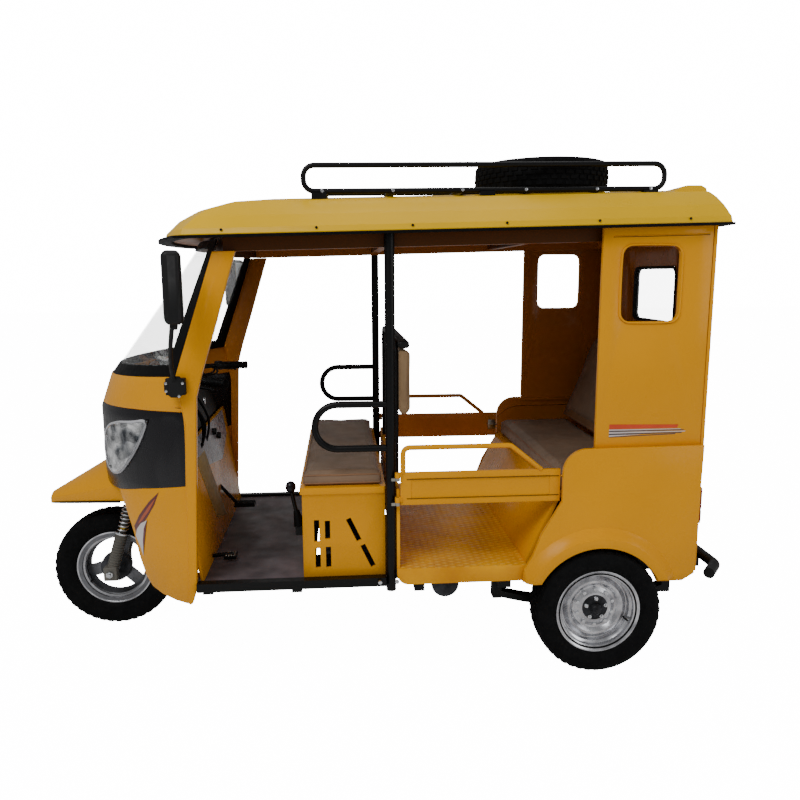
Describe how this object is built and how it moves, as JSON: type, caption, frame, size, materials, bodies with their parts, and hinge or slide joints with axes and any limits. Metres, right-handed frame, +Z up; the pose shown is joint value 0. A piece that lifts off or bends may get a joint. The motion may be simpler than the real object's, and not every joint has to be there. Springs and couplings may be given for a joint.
{
  "type": "auto rickshaw",
  "caption": "Three-wheeled passenger auto rickshaw: enclosed roof with a luggage rack and spare wheel, steered front wheel, driver's seat, low side gates and a rear bench.",
  "frame": {"origin": "on the road, under the middle of the bounding box", "axes": "+X from the nose to the tail, +Y from the vehicle's left side in the picture to its far side, +Z up"},
  "size_m": [2.8819, 1.652, 2.0192],
  "materials": {
    "yellow": "gloss paint",
    "black_paint": "gloss paint",
    "chassis_black": "satin paint",
    "grey_paint": "satin paint",
    "rim_silver": "silver paint",
    "tyre": "tread rubber",
    "rubber": "matt",
    "glass": "clear",
    "lamp": "clear lens",
    "lamp_red": "moulded lens",
    "seat_vinyl": "grained vinyl",
    "pad_vinyl": "grained vinyl",
    "black_plastic": "grained",
    "cast": "as cast",
    "steel": "plated"
  },
  "bodies": {
    "body": {"b_pillars": "black_paint", "beak": "yellow", "bench_backrest": "seat_vinyl", "bench_base": "black_paint", "bench_cushion": "seat_vinyl", "chassis_frame": "chassis_black", "controls": "chassis_black", "cowl_black_panel": "black_paint", "cowl_upper": "yellow", "dash": "black_plastic", "driver_backrest_frame": "black_paint", "driver_backrest_pad": "pad_vinyl", "driver_cushion": "seat_vinyl", "engine_and_silencer": "cast", "front_floor": "black_paint", "front_pillars": "yellow", "gate_hinges": "steel", "handrails": "black_paint", "headlights": "lamp", "leaf_springs": "chassis_black", "leg_shields": "yellow", "mirrors": "black_plastic", "passenger_tub": "yellow", "rear_axle": "chassis_black", "rear_bumper": "black_paint", "rear_quarter_panels": "yellow", "rear_side_panels": "yellow", "rear_wall": "yellow", "roof_edge_seal": "rubber", "roof_frame": "black_paint", "roof_rack": "black_paint", "roof_shell": "yellow", "seat_box": "yellow", "sill_tubes": "black_paint", "spare_rim": "rim_silver", "spare_tyre": "tyre", "steering_head": "chassis_black", "tail_lamps": "lamp_red", "toe_panel": "yellow", "wheel_housings": "black_paint", "window_glass": "glass", "window_seals": "rubber"},
    "steering": {"fork": "grey_paint", "handlebar": "black_plastic"},
    "front_wheel": {"front_tyre": "tyre", "front_rim": "rim_silver"},
    "rear_wheel_left": {"rear_tyre_left": "tyre", "rear_rim_left": "rim_silver"},
    "rear_wheel_right": {"rear_tyre_right": "tyre", "rear_rim_right": "rim_silver"},
    "gate_left": {"gate_left": "yellow"},
    "gate_right": {"gate_right": "yellow"}
  },
  "joints": [
    {"name": "steering", "type": "hinge", "parent": "body", "child": "steering", "pos_m": [-1.18, 0, 0.2675], "axis": [0.2924, 0, 0.9563], "range_deg": [-35, 35]},
    {"name": "front_wheel_spin", "type": "hinge", "parent": "steering", "child": "front_wheel", "pos_m": [-1.18, 0, 0.2675], "axis": [0, 1, 0], "continuous": true},
    {"name": "rear_wheel_left_spin", "type": "hinge", "parent": "body", "child": "rear_wheel_left", "pos_m": [0.856, -0.5585, 0.254], "axis": [0, 1, 0], "continuous": true},
    {"name": "rear_wheel_right_spin", "type": "hinge", "parent": "body", "child": "rear_wheel_right", "pos_m": [0.856, 0.5585, 0.254], "axis": [0, 1, 0], "continuous": true},
    {"name": "gate_left_hinge", "type": "hinge", "parent": "body", "child": "gate_left", "pos_m": [0.064, -0.606, 0.76], "axis": [0, 0, -1], "range_deg": [0, 100]},
    {"name": "gate_right_hinge", "type": "hinge", "parent": "body", "child": "gate_right", "pos_m": [0.064, 0.606, 0.76], "axis": [0, 0, 1], "range_deg": [0, 100]}
  ]
}
